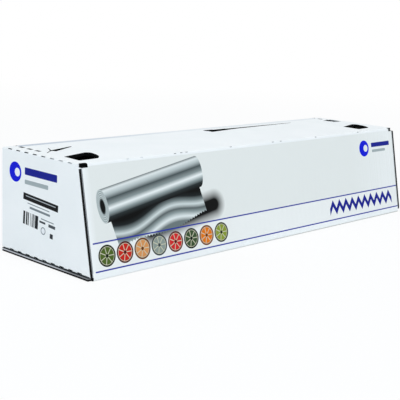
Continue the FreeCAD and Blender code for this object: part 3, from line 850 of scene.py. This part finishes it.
def rolled_foil(axis_height):
    material, tree = new_material("bright_rolled_aluminium_foil")
    at = place_from_axis(tree, axis_height)
    x, y, z = add_node(tree, "ShaderNodeSeparateXYZ", {0: at}).outputs
    section = add_node(tree, "ShaderNodeCombineXYZ", {1: y, 2: z})
    radius = add_node(tree, "ShaderNodeVectorMath", {0: section}, operation="LENGTH").outputs["Value"]
    turns = add_node(
        tree, "ShaderNodeMath", {0: radius, 1: 2.0 * math.pi / turn_spacing}, operation="MULTIPLY")
    turns = add_node(tree, "ShaderNodeMath", {0: turns}, operation="SINE")
    from_middle = add_node(tree, "ShaderNodeMath", {0: x}, operation="ABSOLUTE")
    on_ends = add_node(tree, "ShaderNodeMath", {0: from_middle, 1: roll_ends_x}, operation="GREATER_THAN")
    creases, streaks = [
        add_node(tree, "ShaderNodeTexNoise", {
            "Vector": add_node(tree, "ShaderNodeMapping", {
                "Vector": at, "Scale": [1.0 / side for side in size]}),
            "Scale": 1.0, "Detail": detail})
        for size, detail in ((crease_size, 4.0), (streak_size, 2.0))]
    relief = add_node(tree, "ShaderNodeMath", {
        0: where_all(tree, turns, on_ends), 1: turn_share, 2: creases}, operation="MULTIPLY_ADD")
    bump = add_node(tree, "ShaderNodeBump", {
        "Height": relief, "Strength": foil_relief, "Distance": crease_height / millimetres})
    roughness = add_node(tree, "ShaderNodeMapRange", {
        "Value": streaks, "To Min": foil_roughness[0], "To Max": foil_roughness[1]})
    shader = add_node(tree, "ShaderNodeBsdfPrincipled", {
        "Base Color": linear(foil_colour), "Metallic": 1.0, "Roughness": roughness, "Normal": bump})
    add_node(tree, "ShaderNodeOutputMaterial", {"Surface": shader})
    return material


# %% Core board
ply_width = 62.0
print("a ply of the core is", ply_width, "mm wide")
seam_half_width = 0.5
seam_blur = 0.3
core_grain = 0.5
fibre_height = 0.1
fibre_relief = 0.5
core_browns = [(0.3, "#8A7358"), (0.7, "#A68C6C")]
seam_brown = "#6E5A43"


def spiral_core_board(axis_height):
    material, tree = new_material("spiral_wound_core_board")
    at = place_from_axis(tree, axis_height)
    x, y, z = add_node(tree, "ShaderNodeSeparateXYZ", {0: at}).outputs
    seam = add_node(tree, "ShaderNodeMath", {0: z, 1: y}, operation="ARCTAN2")
    seam = add_node(
        tree, "ShaderNodeMath", {0: seam, 1: ply_width / (2.0 * math.pi), 2: x}, operation="MULTIPLY_ADD")
    seam = add_node(tree, "ShaderNodeMath", {0: seam, 1: ply_width / 2.0}, operation="PINGPONG")
    seam = inside(tree, seam, seam_half_width, seam_blur)
    fibres = add_node(tree, "ShaderNodeTexNoise", {"Vector": at, "Scale": 1.0 / core_grain, "Detail": 4.0})
    tone = set_ramp(add_node(tree, "ShaderNodeValToRGB", {0: fibres}), core_browns)
    bump = add_node(tree, "ShaderNodeBump", {
        "Height": fibres, "Strength": fibre_relief, "Distance": fibre_height / millimetres})
    shader = add_node(tree, "ShaderNodeBsdfPrincipled", {
        "Base Color": lay_over(tree, tone.outputs[0], [(seam, seam_brown)]),
        "Roughness": raw_roughness, "IOR": 1.5, "Normal": bump})
    add_node(tree, "ShaderNodeOutputMaterial", {"Surface": shader})
    return material


# %% Strip steel
steel_grain = (50.0, 0.25, 0.25)
steel_grain_height = 0.05
steel_relief = 0.3
steel_roughness = (0.25, 0.42)
steel_colour = "#C4C6C8"


def tinned_strip_steel():
    material, tree = new_material("tinned_strip_steel")
    coordinates = add_node(tree, "ShaderNodeTexCoord")
    grain = add_node(tree, "ShaderNodeMapping", {
        "Vector": coordinates.outputs["Object"], "Scale": [millimetres / side for side in steel_grain]})
    grain = add_node(tree, "ShaderNodeTexNoise", {"Vector": grain, "Scale": 1.0, "Detail": 3.0})
    roughness = add_node(tree, "ShaderNodeMapRange", {
        "Value": grain, "To Min": steel_roughness[0], "To Max": steel_roughness[1]})
    bump = add_node(tree, "ShaderNodeBump", {
        "Height": grain, "Strength": steel_relief, "Distance": steel_grain_height / millimetres})
    shader = add_node(tree, "ShaderNodeBsdfPrincipled", {
        "Base Color": linear(steel_colour), "Metallic": 1.0, "Roughness": roughness, "Normal": bump})
    add_node(tree, "ShaderNodeOutputMaterial", {"Surface": shader})
    return material


# %% Dress the pieces
core_low, core_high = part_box("core_tube")
axis_height = (core_low.z + core_high.z) / 2.0
finishes = {
    "carton": corrugated_board(),
    "foil_roll": rolled_foil(axis_height),
    "core_tube": spiral_core_board(axis_height),
    "cutting_strip": tinned_strip_steel(),
}
for name, material in finishes.items():
    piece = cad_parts[name]
    piece.data.materials.clear()
    piece.data.materials.append(material)
    print(name, "is finished in", material.name)

# %% [markdown]
# ## Floor and light
#
# A product picture has a white ground and a soft shadow. The floor is pale and matt, and near the
# object the camera sees a fifth of its true shading, so that the shadow stays light. Further away the
# floor fades to plain white, which meets the white of the world without a horizon. The fade is for
# camera, mirror and see-through rays only: as a source of bounced light the floor stays a pale floor.

# %% Rays that show the ground
pure_white = (1.0, 1.0, 1.0, 1.0)


def seen_by_eye(tree):
    """1 for camera, mirror and see-through rays, and 0 for bounced light."""
    paths = add_node(tree, "ShaderNodeLightPath")
    seen = add_node(tree, "ShaderNodeMath", {
        0: paths.outputs["Is Camera Ray"], 1: paths.outputs["Is Glossy Ray"]}, operation="MAXIMUM")
    return add_node(tree, "ShaderNodeMath", {
        0: seen, 1: paths.outputs["Is Transmission Ray"]}, operation="MAXIMUM")


# %% Floor
floor_size = 12.0
clear_radius = 0.55
fade_radius = 1.6
shadow_share = 0.2

floor_mesh = bmesh.new()
bmesh.ops.create_grid(floor_mesh, x_segments=1, y_segments=1, size=floor_size / 2.0)
floor_data = bpy.data.meshes.new("studio_floor")
floor_mesh.to_mesh(floor_data)
floor_mesh.free()
floor = bpy.data.objects.new("studio_floor", floor_data)
bpy.context.scene.collection.objects.link(floor)
print("floor is", floor_size, "m wide")

# %% Floor material
floor_material, tree = new_material("pale_studio_floor")
coordinates = add_node(tree, "ShaderNodeTexCoord")
distance = add_node(
    tree, "ShaderNodeVectorMath", {0: coordinates.outputs["Object"]}, operation="LENGTH").outputs["Value"]
near = add_node(tree, "ShaderNodeMapRange", {
    "Value": distance, "From Min": fade_radius, "From Max": clear_radius, "To Max": shadow_share},
    interpolation_type="SMOOTHSTEP")
far = add_node(tree, "ShaderNodeMath", {0: 1.0, 1: near}, operation="SUBTRACT")
matt = add_node(tree, "ShaderNodeBsdfDiffuse", {"Color": linear("#FAFAFA"), "Roughness": 0.5})
white = add_node(tree, "ShaderNodeEmission", {"Color": pure_white, "Strength": 1.0})
ground = add_node(
    tree, "ShaderNodeMixShader", {0: where_all(tree, seen_by_eye(tree), far), 1: matt, 2: white})
add_node(tree, "ShaderNodeOutputMaterial", {"Surface": ground})
floor_data.materials.append(floor_material)
print("the floor shows", shadow_share, "of its shadow")

# %% World
studio_strength = 0.73
studio_colour = "#F4F9FD"

world = bpy.data.worlds.new("white_studio")
bpy.context.scene.world = world
world.use_nodes = True
tree = world.node_tree
tree.nodes.clear()
studio = add_node(
    tree, "ShaderNodeBackground", {"Color": linear(studio_colour), "Strength": studio_strength})
shown = add_node(tree, "ShaderNodeBackground", {"Color": pure_white, "Strength": 1.0})
sky = add_node(tree, "ShaderNodeMixShader", {0: seen_by_eye(tree), 1: studio, 2: shown})
add_node(tree, "ShaderNodeOutputWorld", {"Surface": sky})
print("the studio's walls shine with", studio_strength)

# %% [markdown]
# Three large round lamps stand in for soft boxes: a warm one overhead, a cool one to the left, which
# gives the narrow end its bluish white, and one in front.

# %% Lamps
def soft_lamp(name, place, target, size, power, colour):
    lamp_data = bpy.data.lights.new(name, "AREA")
    lamp_data.shape = "DISK"
    lamp_data.size = size
    lamp_data.energy = power
    lamp_data.color = linear(colour)[:3]
    lamp = bpy.data.objects.new(name, lamp_data)
    lamp.location = place
    lamp.rotation_euler = (Vector(target) - Vector(place)).to_track_quat("-Z", "Y").to_euler()
    bpy.context.scene.collection.objects.link(lamp)
    print("lamp", name, "gives", power, "W")


soft_lamp("overhead", (-0.5, -0.2, 2.2), (0.0, 0.0, 0.0), 1.8, 11.8, "#FFF8F3")
soft_lamp("left_front", (-1.9, -1.3, 1.2), (0.0, 0.0, 0.05), 1.2, 7.15, "#CBEAFF")
soft_lamp("front", (0.3, -2.3, 1.0), (0.0, 0.0, 0.05), 1.2, 5.5, "#F6FCFF")

# %% [markdown]
# ## Camera
#
# The picture was taken from the left, at about the distance of a table's length, a little above the
# lid. The camera's place and turns come from matching the carton's corners with those in the photo.
# Blender's camera looks along its own -Z, so its axes are built from the heading, the tilt and a
# small roll.

# %% Camera
camera_place = Vector((-0.6305, -0.5709, 0.2045))
heading = math.radians(46.19)
tilt = math.radians(11.86)
camera_roll = math.radians(2.48)
focal_pixels = 943.2
picture_pixels = 400.0
sensor = 36.0
nearest_shown = 0.02

forwards = Vector((
    math.sin(heading) * math.cos(tilt), math.cos(heading) * math.cos(tilt), -math.sin(tilt)))
level_right = Vector((math.cos(heading), -math.sin(heading), 0.0))
level_up = level_right.cross(forwards)
right = math.cos(camera_roll) * level_right + math.sin(camera_roll) * level_up
upwards = right.cross(forwards)
camera_data = bpy.data.cameras.new("camera")
camera_data.sensor_width = sensor
camera_data.lens = focal_pixels / picture_pixels * sensor
camera_data.clip_start = nearest_shown
camera = bpy.data.objects.new("camera", camera_data)
axes = Matrix((right, upwards, -forwards)).transposed().to_4x4()
camera.matrix_world = Matrix.Translation(camera_place) @ axes
bpy.context.scene.collection.objects.link(camera)
bpy.context.scene.camera = camera
bpy.context.scene.view_settings.view_transform = "Standard"
print("lens", round(camera_data.lens, 1), "mm on a", sensor, "mm sensor")
